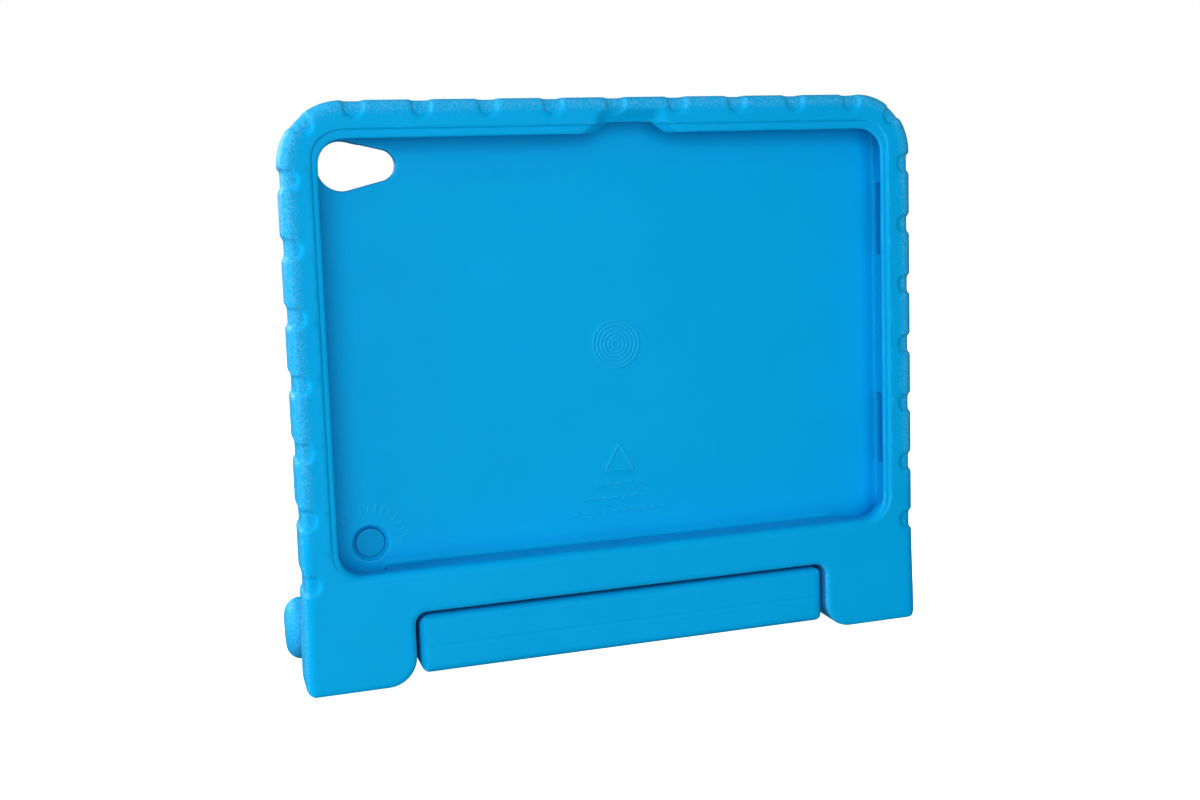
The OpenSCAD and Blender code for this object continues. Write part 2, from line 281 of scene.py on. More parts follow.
def linear(hex_code):
    """An sRGB hex value as the linear colour that shaders take."""
    parts = [int(hex_code[i : i + 2], 16) / 255 for i in (1, 3, 5)]
    return [c / 12.92 if c <= 0.04045 else ((c + 0.055) / 1.055) ** 2.4 for c in parts] + [1.0]


def add(tree, kind, inputs=None, **settings):
    """Adds a shader node; inputs gives each socket a value or the output that feeds it."""
    node = tree.nodes.new(kind)
    for name, value in settings.items():
        setattr(node, name, value)
    for socket, value in (inputs or {}).items():
        if isinstance(value, bpy.types.NodeSocket):
            tree.links.new(value, node.inputs[socket])
        else:
            node.inputs[socket].default_value = value
    return node


def blank_material(name):
    """A material with an empty tree, and that tree."""
    material = bpy.data.materials.new(name)
    material.use_nodes = True
    material.node_tree.nodes.clear()
    return material, material.node_tree


def shade(c, factor):
    """A linear colour made lighter or darker."""
    return [min(1.0, v * factor) for v in c[:3]] + [1.0]


# painted sheen: the pale blue painted on the grain's pebbles in place of their highlight
PAINTED_SHEEN_COLOUR = "#9AD2EE"


def moulded_foam(name, hex_code):
    """Closed-cell EVA foam, compression moulded in a textured tool.

    The eye sees one strong blue with a satin skin and a fine leather grain where one
    attribute is set; the grain's pebbles carry a painted sheen, a pale blue in place of
    their highlight. Convex edges are painted paler, a painted highlight, where the edge
    attribute is set.
    """
    material, tree = blank_material(name)
    base = linear(hex_code)
    place = add(tree, "ShaderNodeTexCoord").outputs["Object"]
    grain_and_sheen = add(tree, "ShaderNodeAttribute", attribute_name="grain_and_sheen").outputs["Fac"]
    edge = add(tree, "ShaderNodeAttribute", attribute_name="edge").outputs["Fac"]

    # uneven cooling leaves soft patches of about 40 mm
    patches = add(
        tree,
        "ShaderNodeTexNoise",
        {"Vector": place, "Scale": 25.0, "Detail": 3.0, "Roughness": 0.55},
    ).outputs["Fac"]
    tone = add(tree, "ShaderNodeMix", {"Factor": patches}, data_type="RGBA")
    # Mix has sockets of the same name for each kind of data, so the colour ones go by place
    tone.inputs[6].default_value = shade(base, 0.955)
    tone.inputs[7].default_value = shade(base, 1.045)
    # painted highlight: convex edges are painted a paler blue where the edge attribute is set
    with_edge_highlight = add(tree, "ShaderNodeMix", {"Factor": edge}, data_type="RGBA")
    tree.links.new(tone.outputs[2], with_edge_highlight.inputs[6])
    edge_highlight_colour = [base[0] + 0.05, min(1, base[1] * 1.12 + 0.02), min(1, base[2] * 1.05 + 0.02), 1]
    with_edge_highlight.inputs[7].default_value = edge_highlight_colour

    # the skin's gloss wanders a little between the tool's polished and dull parts
    gloss = add(
        tree,
        "ShaderNodeTexNoise",
        {"Vector": place, "Scale": 90.0, "Detail": 4.0, "Roughness": 0.6},
    ).outputs["Fac"]
    roughness = add(
        tree,
        "ShaderNodeMapRange",
        {"Value": gloss, "From Min": 0.3, "From Max": 0.7, "To Min": 0.38, "To Max": 0.48},
    ).outputs["Result"]

    # leather grain: pebbles of 1 mm, a little coarser than the real 0.8 mm so that they show
    pebbles = add(
        tree,
        "ShaderNodeTexVoronoi",
        {"Vector": place, "Scale": 1000.0, "Randomness": 1.0, "Smoothness": 0.35},
        feature="SMOOTH_F1",
    ).outputs["Distance"]
    height = add(
        tree,
        "ShaderNodeMath",
        {0: pebbles, 1: grain_and_sheen},
        operation="MULTIPLY",
    ).outputs["Value"]
    # painted sheen: the tops of the grain's pebbles are painted a pale blue in place of the side
    # lamps' highlight on them
    painted_sheen = add(
        tree,
        "ShaderNodeMapRange",
        {"Value": height, "From Min": 0.2, "From Max": 0.7, "To Min": 0.0, "To Max": 0.24},
    ).outputs["Result"]
    with_painted_sheen = add(tree, "ShaderNodeMix", {"Factor": painted_sheen}, data_type="RGBA")
    tree.links.new(with_edge_highlight.outputs[2], with_painted_sheen.inputs[6])
    with_painted_sheen.inputs[7].default_value = linear(PAINTED_SHEEN_COLOUR)
    # pores of the skin, 0.3 mm
    pores = add(
        tree,
        "ShaderNodeTexNoise",
        {"Vector": place, "Scale": 2600.0, "Detail": 2.0, "Roughness": 0.5},
    ).outputs["Fac"]
    relief = add(
        tree,
        "ShaderNodeMath",
        {0: pores, 1: 0.12, 2: height},
        operation="MULTIPLY_ADD",
    ).outputs["Value"]
    bump = add(
        tree,
        "ShaderNodeBump",
        {"Height": relief, "Strength": 1.0, "Distance": 0.22 * MM},
    ).outputs["Normal"]

    skin = add(
        tree,
        "ShaderNodeBsdfPrincipled",
        {
            "Base Color": with_painted_sheen.outputs[2],
            "Roughness": roughness,
            "IOR": 1.45,
            "Specular IOR Level": 0.12,
            "Sheen Weight": 0.05,
            "Sheen Roughness": 0.3,
            "Normal": bump,
        },
    )
    add(tree, "ShaderNodeOutputMaterial", {"Surface": skin.outputs["BSDF"]})
    return material


def moulded_plastic(name, hex_code, roughness):
    """Injection moulded plastic with a spark-eroded texture: even, dull and slightly mottled."""
    material, tree = blank_material(name)
    base = linear(hex_code)
    place = add(tree, "ShaderNodeTexCoord").outputs["Object"]
    mottle = add(
        tree,
        "ShaderNodeTexNoise",
        {"Vector": place, "Scale": 160.0, "Detail": 3.0, "Roughness": 0.5},
    ).outputs["Fac"]
    tone = add(tree, "ShaderNodeMix", {"Factor": mottle}, data_type="RGBA")
    tone.inputs[6].default_value = shade(base, 0.85)
    tone.inputs[7].default_value = shade(base, 1.15)
    # texture of 0.4 mm, coarser than the real 0.1 mm so that it shows
    sparks = add(
        tree,
        "ShaderNodeTexNoise",
        {"Vector": place, "Scale": 2500.0, "Detail": 2.0, "Roughness": 0.6},
    ).outputs["Fac"]
    bump = add(
        tree,
        "ShaderNodeBump",
        {"Height": sparks, "Strength": 0.35, "Distance": 0.05 * MM},
    ).outputs["Normal"]
    dull = add(
        tree,
        "ShaderNodeMapRange",
        {
            "Value": sparks,
            "From Min": 0.3,
            "From Max": 0.7,
            "To Min": roughness - 0.06,
            "To Max": roughness + 0.06,
        },
    ).outputs["Result"]
    skin = add(
        tree,
        "ShaderNodeBsdfPrincipled",
        {
            "Base Color": tone.outputs[2],
            "Roughness": dull,
            "IOR": 1.49,
            "Specular IOR Level": 0.5,
            "Normal": bump,
        },
    )
    add(tree, "ShaderNodeOutputMaterial", {"Surface": skin.outputs["BSDF"]})
    return material


def plated_steel(name, hex_code):
    """Zinc-plated steel turned from bar: a grey metal with fine turning lines round the X axis."""
    material, tree = blank_material(name)
    base = linear(hex_code)
    place = add(tree, "ShaderNodeTexCoord").outputs["Object"]
    # turning lines 0.25 mm apart along the bolt
    lines = add(
        tree,
        "ShaderNodeTexWave",
        {"Vector": place, "Scale": 640.0, "Distortion": 0.6, "Detail": 2.0, "Detail Scale": 3.0},
        bands_direction="X",
    ).outputs["Fac"]
    cloud = add(
        tree,
        "ShaderNodeTexNoise",
        {"Vector": place, "Scale": 350.0, "Detail": 3.0, "Roughness": 0.6},
    ).outputs["Fac"]
    tone = add(tree, "ShaderNodeMix", {"Factor": cloud}, data_type="RGBA")
    tone.inputs[6].default_value = shade(base, 0.88)
    tone.inputs[7].default_value = shade(base, 1.08)
    dull = add(
        tree,
        "ShaderNodeMapRange",
        {"Value": cloud, "From Min": 0.3, "From Max": 0.7, "To Min": 0.28, "To Max": 0.42},
    ).outputs["Result"]
    bump = add(
        tree,
        "ShaderNodeBump",
        {"Height": lines, "Strength": 0.3, "Distance": 0.02 * MM},
    ).outputs["Normal"]
    skin = add(
        tree,
        "ShaderNodeBsdfPrincipled",
        {"Base Color": tone.outputs[2], "Metallic": 1.0, "Roughness": dull, "Normal": bump},
    )
    add(tree, "ShaderNodeOutputMaterial", {"Surface": skin.outputs["BSDF"]})
    return material


# --- mesh helpers --------------------------------------------------------


def new_piece(name, shape):
    """A new object from a finished bmesh, which is freed."""
    mesh = bpy.data.meshes.new(name)
    shape.to_mesh(mesh)
    shape.free()
    piece = bpy.data.objects.new(name, mesh)
    bpy.context.scene.collection.objects.link(piece)
    return piece


def apply_modifiers(piece):
    """Swaps the piece's mesh for what its modifiers make of it."""
    bpy.context.view_layer.update()
    seen = piece.evaluated_get(bpy.context.evaluated_depsgraph_get())
    made = bpy.data.meshes.new_from_object(seen)
    old = piece.data
    piece.modifiers.clear()
    piece.data = made
    made.name = piece.name
    bpy.data.meshes.remove(old)


def foam_skin(node, name, step):
    """A new object with an even skin of small squares over a CAD node's form."""
    shape = bmesh.new()
    shape.from_mesh(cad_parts[node].data)
    bmesh.ops.remove_doubles(shape, verts=shape.verts[:], dist=WELD)
    piece = new_piece(name, shape)
    remesh = piece.modifiers.new("Even skin", "REMESH")
    remesh.mode = "VOXEL"
    remesh.voxel_size = step
    apply_modifiers(piece)
    return piece


def thin_out(piece, faces):
    """Merges triangles where the skin is flat, until that many are left."""
    now = sum(len(p.vertices) - 2 for p in piece.data.polygons)
    if now > faces:
        thinner = piece.modifiers.new("Thin out", "DECIMATE")
        thinner.ratio = faces / now
        apply_modifiers(piece)


def relax(piece, rounds, where=None):
    """Softens the skin by smoothing it; where picks the points by their place."""
    shape = bmesh.new()
    shape.from_mesh(piece.data)
    if where is None:
        picked = shape.verts[:]
    else:
        mask = where(read_points(piece.data))
        shape.verts.ensure_lookup_table()
        picked = [shape.verts[i] for i in np.flatnonzero(mask)]
    for _ in range(rounds):
        bmesh.ops.smooth_vert(
            shape,
            verts=picked,
            factor=0.5,
            use_axis_x=True,
            use_axis_y=True,
            use_axis_z=True,
        )
    shape.to_mesh(piece.data)
    shape.free()


def read_points(mesh):
    """The mesh's points as an array of rows x, y, z."""
    points = np.zeros(len(mesh.vertices) * 3)
    mesh.vertices.foreach_get("co", points)
    return points.reshape(-1, 3)


def write_points(mesh, points):
    """Moves the mesh's points to the rows of an array."""
    mesh.vertices.foreach_set("co", points.astype(np.float32).ravel())
    mesh.update()


def read_normals(mesh):
    """The points' normals as an array of rows x, y, z."""
    normals = np.zeros(len(mesh.vertices) * 3, np.float32)
    mesh.vertex_normals.foreach_get("vector", normals)
    return normals.reshape(-1, 3)


def smooth_step(value, low, high):
    """0 below low, 1 above high, and a soft rise between them."""
    t = np.clip((value - low) / (high - low), 0, 1)
    return t * t * (3 - 2 * t)


def round_over(a, b, radius):
    """Moves depths a and b, measured from the two faces of a square edge, onto its rounding."""
    across, down = radius - a, radius - b
    reach = np.hypot(across, down)
    edge = (across > 0) & (down > 0) & (reach > radius) & (a > -radius) & (b > -radius)
    pull = np.where(edge, radius / np.maximum(reach, 1e-9), 1.0)
    return np.where(edge, radius - across * pull, a), np.where(edge, radius - down * pull, b)


def rounded_box_distance(x, z, centre, half, radius):
    """Signed distance in the front view from a rounded rectangle, and the way outwards."""
    px, pz = x - centre[0], z - centre[1]
    qx, qz = np.abs(px) - (half[0] - radius), np.abs(pz) - (half[1] - radius)
    ox, oz = np.maximum(qx, 0), np.maximum(qz, 0)
    corner = np.hypot(ox, oz)
    distance = corner + np.minimum(np.maximum(qx, qz), 0) - radius
    side = qx > qz
    nx = np.where(corner > 0, ox / np.maximum(corner, 1e-9), side * 1.0) * np.sign(px)
    nz = np.where(corner > 0, oz / np.maximum(corner, 1e-9), (~side) * 1.0) * np.sign(pz)
    return distance, nx, nz


def set_attribute(mesh, name, values):
    """Stores one number for each point of the mesh."""
    attribute = mesh.attributes.get(name) or mesh.attributes.new(name, "FLOAT", "POINT")
    attribute.data.foreach_set("value", values.astype(np.float32))


# mask of the painted edge highlight: it picks the convex edges
def edge_highlight_mask(mesh, size):
    """How far each point stands out: 0 on a flat, 1 on an edge whose radius is the size."""
    points = read_points(mesh)
    pairs = np.zeros(len(mesh.edges) * 2, np.int64)
    mesh.edges.foreach_get("vertices", pairs)
    pairs = pairs.reshape(-1, 2)
    both = np.concatenate([pairs, pairs[:, ::-1]])
    steps = points[both[:, 1]] - points[both[:, 0]]
    count = np.bincount(both[:, 0], minlength=len(points))
    lean = -np.einsum("ij,ij->i", steps, read_normals(mesh)[both[:, 0]])
    bend = 2 * lean / np.maximum(np.einsum("ij,ij->i", steps, steps), 1e-12)
    mean = np.bincount(both[:, 0], bend, len(points)) / np.maximum(count, 1)
    # a thinned skin bends a little at every point, so small bends count as flat
    return smooth_step(mean * size, 0.25, 1)


def paint(piece, grain_and_sheen, edge, radius):
    """Gives a piece one strength of grain and painted sheen, and a painted highlight where it bends
    to that radius.
    """
    set_attribute(piece.data, "grain_and_sheen", np.full(len(piece.data.vertices), grain_and_sheen))
    set_attribute(piece.data, "edge", edge * edge_highlight_mask(piece.data, radius))


def finish_piece(piece, body, nodes, material):
    """Smooth shades a piece, gives it its finish, and ties it to the frame."""
    piece.data.materials.clear()
    piece.data.materials.append(material)
    piece.data.polygons.foreach_set("use_smooth", [True] * len(piece.data.polygons))
    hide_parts(*nodes)
    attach(piece, body)


def turned(name, profile, origin, axis, roundings):
    """A closed round piece turned about an axis from (radius, along) points.

    roundings maps a point of the profile to the radius its edge is rounded to.
    """
    out = Vector((0, 0, 1))
    shape = bmesh.new()
    chain = [shape.verts.new(origin + axis * along + out * radius) for radius, along in profile]
    rings = [shape.edges.new(pair) for pair in zip(chain, chain[1:])]
    bmesh.ops.spin(
        shape,
        geom=chain + rings,
        cent=origin,
        axis=axis,
        angle=2 * math.pi,
        steps=96,
        use_merge=True,
    )
    bmesh.ops.remove_doubles(shape, verts=shape.verts[:], dist=WELD)
    for index, radius in roundings.items():
        ring_radius, along = profile[index]
        ring = []
        for e in shape.edges:
            on_ring = True
            for v in e.verts:
                rel = v.co - origin
                height = rel.dot(axis)
                off = (rel - axis * height).length
                if abs(height - along) > 0.01 * MM or abs(off - ring_radius) > 0.01 * MM:
                    on_ring = False
            if on_ring:
                ring.append(e)
        bmesh.ops.bevel(
            shape,
            geom=ring,
            offset=radius,
            offset_type="OFFSET",
            affect="EDGES",
            segments=max(3, round(radius / MM * 2)),
            profile=0.5,
            material=-1,
        )
    bmesh.ops.recalc_face_normals(shape, faces=shape.faces[:])
    return new_piece(name, shape)


# --- the foam shell ------------------------------------------------------


def lip_distance(points, sizes):
    """Distance of each point outside the lip opening in the front view, and the way outwards."""
    middle = (sizes.lip_low + sizes.lip_high) / 2
    half = (sizes.lip_half_width, (sizes.lip_high - sizes.lip_low) / 2)
    return rounded_box_distance(
        points[:, 0], points[:, 2], (0, middle), half, sizes.lip_radius
    )


def notch_distance(points, sizes):
    """Distance of each point outside the notch in the top lip."""
    rise = np.clip((points[:, 2] - sizes.lip_high) / NOTCH_HEIGHT, 0, 1)
    half = NOTCH_MOUTH + (NOTCH_TOP - NOTCH_MOUTH) * rise
    beside = np.maximum(np.abs(points[:, 0] - NOTCH_MIDDLE) - half, 0)
    above = np.maximum(points[:, 2] - sizes.lip_high - NOTCH_HEIGHT, 0)
    return np.hypot(beside, above)


def under_distance(points):
    """Depth inside the foam from the soles and the gap between the feet, and the way outwards."""
    x, z = points[:, 0], points[:, 2]
    distance, nx, nz = rounded_box_distance(
        x, z, (0, -GAP_TOP), (GAP_HALF, 2 * GAP_TOP), GAP_RADIUS
    )
    centre = GAP_HALF + FOOT_RADIUS
    side = np.sign(x)
    dx, dz = np.abs(x) - centre, z - FOOT_RADIUS
    reach = np.hypot(dx, dz)
    curve = (np.abs(x) < centre) & (z < FOOT_RADIUS)
    sole = (np.abs(x) >= centre) & (z < FOOT_RADIUS)
    depth = np.where(curve, FOOT_RADIUS - reach, distance)
    ux = np.where(curve, -dx / np.maximum(reach, 1e-9) * side, nx)
    uz = np.where(curve, -dz / np.maximum(reach, 1e-9), nz)
    depth = np.where(sole, z, depth)
    ux, uz = np.where(sole, 0, ux), np.where(sole, 1, uz)
    return depth, ux, uz


def soften_lip(points, sizes):
    """Rounds the lip's edges: small at the sides and the top, large along the bottom."""
    distance, nx, nz = lip_distance(points, sizes)
    depth = points[:, 1] - FRONT
    low = 1 - smooth_step(points[:, 2], sizes.lip_low - 2 * MM, sizes.lip_low + 9 * MM)
    radius = (1.1 + 2.1 * low) * MM
    near = (depth < 5 * MM) & (distance > -1 * MM) & (distance < 5 * MM)
    a, b = round_over(distance, depth, radius)
    points[near, 0] += ((a - distance) * nx)[near]
    points[near, 2] += ((a - distance) * nz)[near]
    points[near, 1] += (b - depth)[near]
    # the back edge of the lip, beside the tablet
    behind = FRONT + sizes.lip_thickness - points[:, 1]
    near = (behind > -0.4 * MM) & (behind < 3 * MM) & (distance > -1 * MM) & (distance < 2 * MM)
    near &= points[:, 2] > sizes.lip_low + 4 * MM
    a, b = round_over(distance, behind, 1.2 * MM)
    points[near, 0] += ((a - distance) * nx)[near]
    points[near, 2] += ((a - distance) * nz)[near]
    points[near, 1] -= (b - behind)[near]


def lean_lip(points, sizes):
    """Leans the lip's inner wall outwards behind its front edge, except along the bottom."""
    distance, nx, nz = lip_distance(points, sizes)
    depth = points[:, 1] - FRONT
    lean = sizes.undercut * np.clip((depth - 1.3 * MM) / (sizes.lip_thickness - 1.3 * MM), 0, 1)
    lean *= smooth_step(points[:, 2], sizes.lip_low + 3 * MM, sizes.lip_low + 12 * MM)
    reach = sizes.undercut + 0.7 * MM
    push = lean * np.clip(1 - distance / reach, 0, 1)
    near = (depth < sizes.lip_thickness + 0.3 * MM) & (distance > -1 * MM)
    points[near, 0] += (push * nx)[near]
    points[near, 2] += (push * nz)[near]


def band_reach(points, sizes):
    """Width of the lip band: the band is wider along the top."""
    high = smooth_step(points[:, 2], sizes.lip_high - 12 * MM, sizes.lip_high)
    return sizes.band_width + sizes.band_extra * high


def sink_lip_band(points, sizes):
    """Lowers the band round the lip opening, fading out round the two bottom corners."""
    distance, _, _ = lip_distance(points, sizes)
    depth = points[:, 1] - FRONT
    beyond = distance - band_reach(points, sizes)
    inside = 1 - smooth_step(beyond, -0.3 * MM, 0.3 * MM)
    fade = smooth_step(points[:, 2], sizes.lip_low - 2.5 * MM, sizes.lip_low + 9 * MM)
    shallow = np.clip(1 - depth / (5 * MM), 0, 1)
    near = (depth < 5 * MM) & (distance > -1 * MM) & (distance < 6 * MM)
    points[near, 1] += (sizes.band_depth * inside * fade * shallow)[near]


def hollow_notch(points, sizes):
    """Slopes the rim's face back towards the notch in the top lip."""
    distance = notch_distance(points, sizes)
    depth = points[:, 1] - FRONT
    slope = smooth_step(1 - distance / (6.5 * MM), 0, 1)
    shallow = np.clip(1 - depth / sizes.lip_thickness, 0, 1)
    near = (depth < sizes.lip_thickness) & (points[:, 2] > sizes.lip_high - 1.5 * MM)
    points[near, 1] += (3.2 * MM * slope * shallow)[near]


def soften_feet(points):
    """Rounds the edges of the feet and of the gap between them, front and back."""
    depth, ux, uz = under_distance(points)
    for sign, face, radius in ((1, FRONT, 2.2 * MM), (-1, RIM_BACK, 2.2 * MM)):
        behind = (points[:, 1] - face) * sign
        near = (behind > -0.2 * MM) & (behind < 4 * MM) & (depth > -0.5 * MM) & (depth < 4 * MM)
        a, b = round_over(depth, behind, radius)
        points[near, 0] += ((a - depth) * ux)[near]
        points[near, 2] += ((a - depth) * uz)[near]
        points[near, 1] += ((b - behind) * sign)[near]


def flare_feet(points, sizes):
    """Spreads the outer faces of the feet a little towards the soles."""
    low = 1 - smooth_step(points[:, 2], 4 * MM, 42 * MM)
    outer = np.clip((np.abs(points[:, 0]) - GAP_HALF - FOOT_RADIUS) / (20 * MM), 0, 1)
    shift = sizes.flare * low * outer * np.sign(points[:, 0])
    points[:, 0] += np.where(points[:, 1] < RIM_BACK + 0.3 * MM, shift, 0)


RING_MIDDLE = (1.1 * MM, 133.5 * MM)
TRIANGLE = ((1.1 * MM, 90.2 * MM), (7.2 * MM, 78.6 * MM), (-5.4 * MM, 78.6 * MM))
# height of each row of dashes, and how many it has
DASH_ROWS = ((72.8 * MM, 5), (66.8 * MM, 8), (60.8 * MM, 10))
PLUG_MIDDLE = (-107.1 * MM, 57.8 * MM)


def stroke(distance, half_width):
    """Height of a raised line, 1 in its middle and 0 outside it, with soft flanks."""
    return 1 - smooth_step(np.abs(distance), half_width * 0.5, half_width * 1.2)


def mark_height(x, z, sizes):
    """Relief of the panel's moulded marks: rings, a triangle, dashes and ticks."""
    height = np.zeros(len(x))
    radius = np.hypot(x - RING_MIDDLE[0], z - RING_MIDDLE[1])
    pitch = sizes.ring_radius / 6.2
    for ring in range(1, 7):
        height = np.maximum(height, stroke(radius - ring * pitch, LINE_HALF))
    for a, b in zip(TRIANGLE, TRIANGLE[1:] + TRIANGLE[:1]):
        ex, ez = b[0] - a[0], b[1] - a[1]
        along = np.clip(((x - a[0]) * ex + (z - a[1]) * ez) / (ex * ex + ez * ez), 0, 1)
        gap = np.hypot(x - a[0] - along * ex, z - a[1] - along * ez)
        height = np.maximum(height, stroke(gap, LINE_HALF))
    for row, count in DASH_ROWS:
        for i in range(count):
            middle = RING_MIDDLE[0] + (i - (count - 1) / 2) * 4.4 * MM
            gap = np.hypot(np.maximum(np.abs(x - middle) - 1.2 * MM, 0), z - row)
            height = np.maximum(height, stroke(gap, DASH_HALF))
    px, pz = x - PLUG_MIDDLE[0], z - PLUG_MIDDLE[1]
    reach, angle = np.hypot(px, pz), np.arctan2(pz, px)
    for i in range(12):
        turn = math.radians(8 + i * 12)
        off = np.abs((angle - turn + math.pi) % (2 * math.pi) - math.pi) * reach
        gap = np.hypot(off, np.maximum(np.abs(reach - 14.4 * MM) - 1.3 * MM, 0))
        height = np.maximum(height, stroke(gap, LINE_HALF))
    return height


# middles and half sizes of the patches of panel that carry marks
MARK_SPOTS = (
    (RING_MIDDLE[0], RING_MIDDLE[1], 11.6 * MM, 11.6 * MM),
    (RING_MIDDLE[0], 84 * MM, 8.2 * MM, 7.6 * MM),
    (RING_MIDDLE[0], 66.8 * MM, 23.5 * MM, 7.6 * MM),
    (PLUG_MIDDLE[0] - 0.5 * MM, PLUG_MIDDLE[1] + 8.5 * MM, 16.5 * MM, 9.0 * MM),
)


def under_marks(points, panel):
    """Picks the points of the panel that lie under its marks."""
    x, z = points[:, 0], points[:, 2]
    inside = np.zeros(len(points), bool)
    for middle_x, middle_z, half_x, half_z in MARK_SPOTS:
        inside |= (np.abs(x - middle_x) < half_x) & (np.abs(z - middle_z) < half_z)
    return inside & (np.abs(points[:, 1] - panel) < PANEL_SLACK)


def near_crease(points, sizes):
    """Picks the points of the rim's face on both sides of the lip band's crease."""
    distance, _, _ = lip_distance(points, sizes)
    near = np.abs(distance - band_reach(points, sizes)) < 1.3 * MM
    return near & (points[:, 1] < FRONT + 2 * MM) & (points[:, 2] > sizes.lip_low - 4 * MM)


def refine(piece, where, cuts):
    """Cuts the squares of the skin between the picked points into smaller ones."""
    shape = bmesh.new()
    shape.from_mesh(piece.data)
    picked = where(read_points(piece.data))
    edges = [e for e in shape.edges if picked[e.verts[0].index] and picked[e.verts[1].index]]
    bmesh.ops.subdivide_edges(shape, edges=edges, cuts=cuts, use_grid_fill=True)
    shape.to_mesh(piece.data)
    shape.free()


def raise_marks(piece, sizes, panel):
    """Refines the panel's skin under the marks and raises them."""
    refine(piece, lambda points: under_marks(points, panel), 2)
    points = read_points(piece.data)
    on_panel = np.abs(points[:, 1] - panel) < PANEL_SLACK
    height = np.zeros(len(points))
    height[on_panel] = mark_height(points[on_panel, 0], points[on_panel, 2], sizes)
    points[:, 1] -= height * sizes.relief
    write_points(piece.data, points)


def paint_shell(piece, sizes):
    """Sets where the leather grain with its painted sheen and the painted edge highlight show."""
    points = read_points(piece.data)
    towards_back = read_normals(piece.data)[:, 1]
    facing = smooth_step(np.abs(towards_back), 0.6, 0.95)
    middle = CASE_HIGH.z / 2
    half = (CASE_HIGH.x - sizes.flare, middle)
    outer, _, _ = rounded_box_distance(
        points[:, 0], points[:, 2], (0, middle), half, OUTER_RADIUS
    )
    # the tool is textured on the outer walls and polished towards the lip and on the feet; the
    # painted sheen goes wherever the grain does
    border = 1 - smooth_step(-outer, 2 * MM, 8 * MM)
    border *= smooth_step(points[:, 2], 45 * MM, 90 * MM)
    lip, _, _ = lip_distance(points, sizes)
    depth = points[:, 1] - FRONT
    grain_and_sheen = np.maximum(1 - facing, border)
    grain_and_sheen *= smooth_step(lip, 3 * MM, 7 * MM)
    # the back is grained more lightly, with little of the painted sheen
    back = smooth_step(towards_back, 0.5, 0.9)
    grain_and_sheen = grain_and_sheen * (1 - back) + 0.42 * back
    hidden = (depth > 6.5 * MM) & (depth < 15 * MM) & (lip < 9 * MM)
    grain_and_sheen[hidden] = 0
    set_attribute(piece.data, "grain_and_sheen", 0.08 + 0.92 * grain_and_sheen)
    # painted highlight on the convex edges of the shell
    set_attribute(piece.data, "edge", 0.5 * edge_highlight_mask(piece.data, 1.6 * MM))


def build_shell(context):
    """The moulded foam shell: softened rim, lip, feet, scoops and raised marks."""
    sizes = context.scene.foam_shell
    step = sizes.step * 1
    piece = foam_skin("case_body", "case_shell", step)
    points = read_points(piece.data)
    soften_lip(points, sizes)
    soften_feet(points)
    flare_feet(points, sizes)
    lean_lip(points, sizes)
    hollow_notch(points, sizes)
    write_points(piece.data, points)
    relax(piece, 2)
    refine(piece, lambda points: near_crease(points, sizes), 1)
    points = read_points(piece.data)
    sink_lip_band(points, sizes)
    write_points(piece.data, points)
    panel = FRONT + sizes.lip_thickness + POCKET_DEPTH
    raise_marks(piece, sizes, panel)
    thin_out(piece, sizes.faces)
    paint_shell(piece, sizes)
    material = moulded_foam("Moulded EVA foam, blue", sizes.colour)
    finish_piece(piece, "case", ["case_body"], material)


# --- operators -----------------------------------------------------------


class CASE_OT_shell(bpy.types.Operator):
    """Build the foam shell with its lip, scoops, feet and marks"""

    bl_idname = "foam_case.shell"
    bl_label = "Foam shell"

    def execute(self, context):
        build_shell(context)
        return {"FINISHED"}


class CASE_OT_plug(bpy.types.Operator):
    """Build the push-out plug in the panel's round hole"""

    bl_idname = "foam_case.plug"
    bl_label = "Push-out plug"

    def execute(self, context):
        low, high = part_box("push_out_plug")
        middle = (low + high) / 2
        origin = Vector((middle.x, low.y, middle.z))
        depth = high.y - low.y
        profile = [
            (0, 0.25 * MM),
            (5.2 * MM, 0),
            (5.9 * MM, 0),
            (5.9 * MM, depth - 1.3 * MM),
            (8.5 * MM, depth - 1.3 * MM),
            (8.5 * MM, depth),
            (0, depth),
        ]
        piece = turned(
            "air_plug",
            profile,
            origin,
            Vector((0, 1, 0)),
            {2: 0.5 * MM, 5: 0.5 * MM},
        )
        paint(piece, 0.15, 0.4, 1.0 * MM)
        material = moulded_foam("Moulded EVA foam, plug", context.scene.foam_shell.plug_colour)
        finish_piece(piece, "case", ["push_out_plug"], material)
        return {"FINISHED"}


class CASE_OT_handle(bpy.types.Operator):
    """Build the foam grip of the swinging handle"""

    bl_idname = "foam_case.handle"
    bl_label = "Handle grip"

    def execute(self, context):
        sizes = context.scene.foam_handle
        low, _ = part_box("handle_foam")
        step = sizes.step * 1
        piece = foam_skin("handle_foam", "handle_grip", step)
        points = read_points(piece.data)
        # the front edges at the two ends of the bar
        side = np.sign(points[:, 0])
        end, front = ARM_OUT - np.abs(points[:, 0]), points[:, 1] - low.y
        near = (end > -0.3 * MM) & (front < 5 * MM)
        a, b = round_over(end, front, BAR_END_ROUND)
        points[near, 0] += ((end - a) * side)[near]
        points[near, 1] += (b - front)[near]
        write_points(piece.data, points)
        relax(piece, 3)
        points = read_points(piece.data)
        # parting line of the two halves of the tool, round the front of the bar
        line = np.exp(-(((points[:, 2] - low.z - PARTING_HEIGHT) / PARTING_WIDTH) ** 2))
        front = points[:, 1] < low.y + 0.6 * MM
        points[:, 1] += np.where(front, PARTING_DEPTH * line, 0)
        write_points(piece.data, points)
        thin_out(piece, sizes.faces)
        paint(piece, 0.15, 0.5, 1.6 * MM)
        material = moulded_foam("Moulded EVA foam, handle", sizes.colour)
        finish_piece(piece, "handle", ["handle_foam"], material)
        return {"FINISHED"}


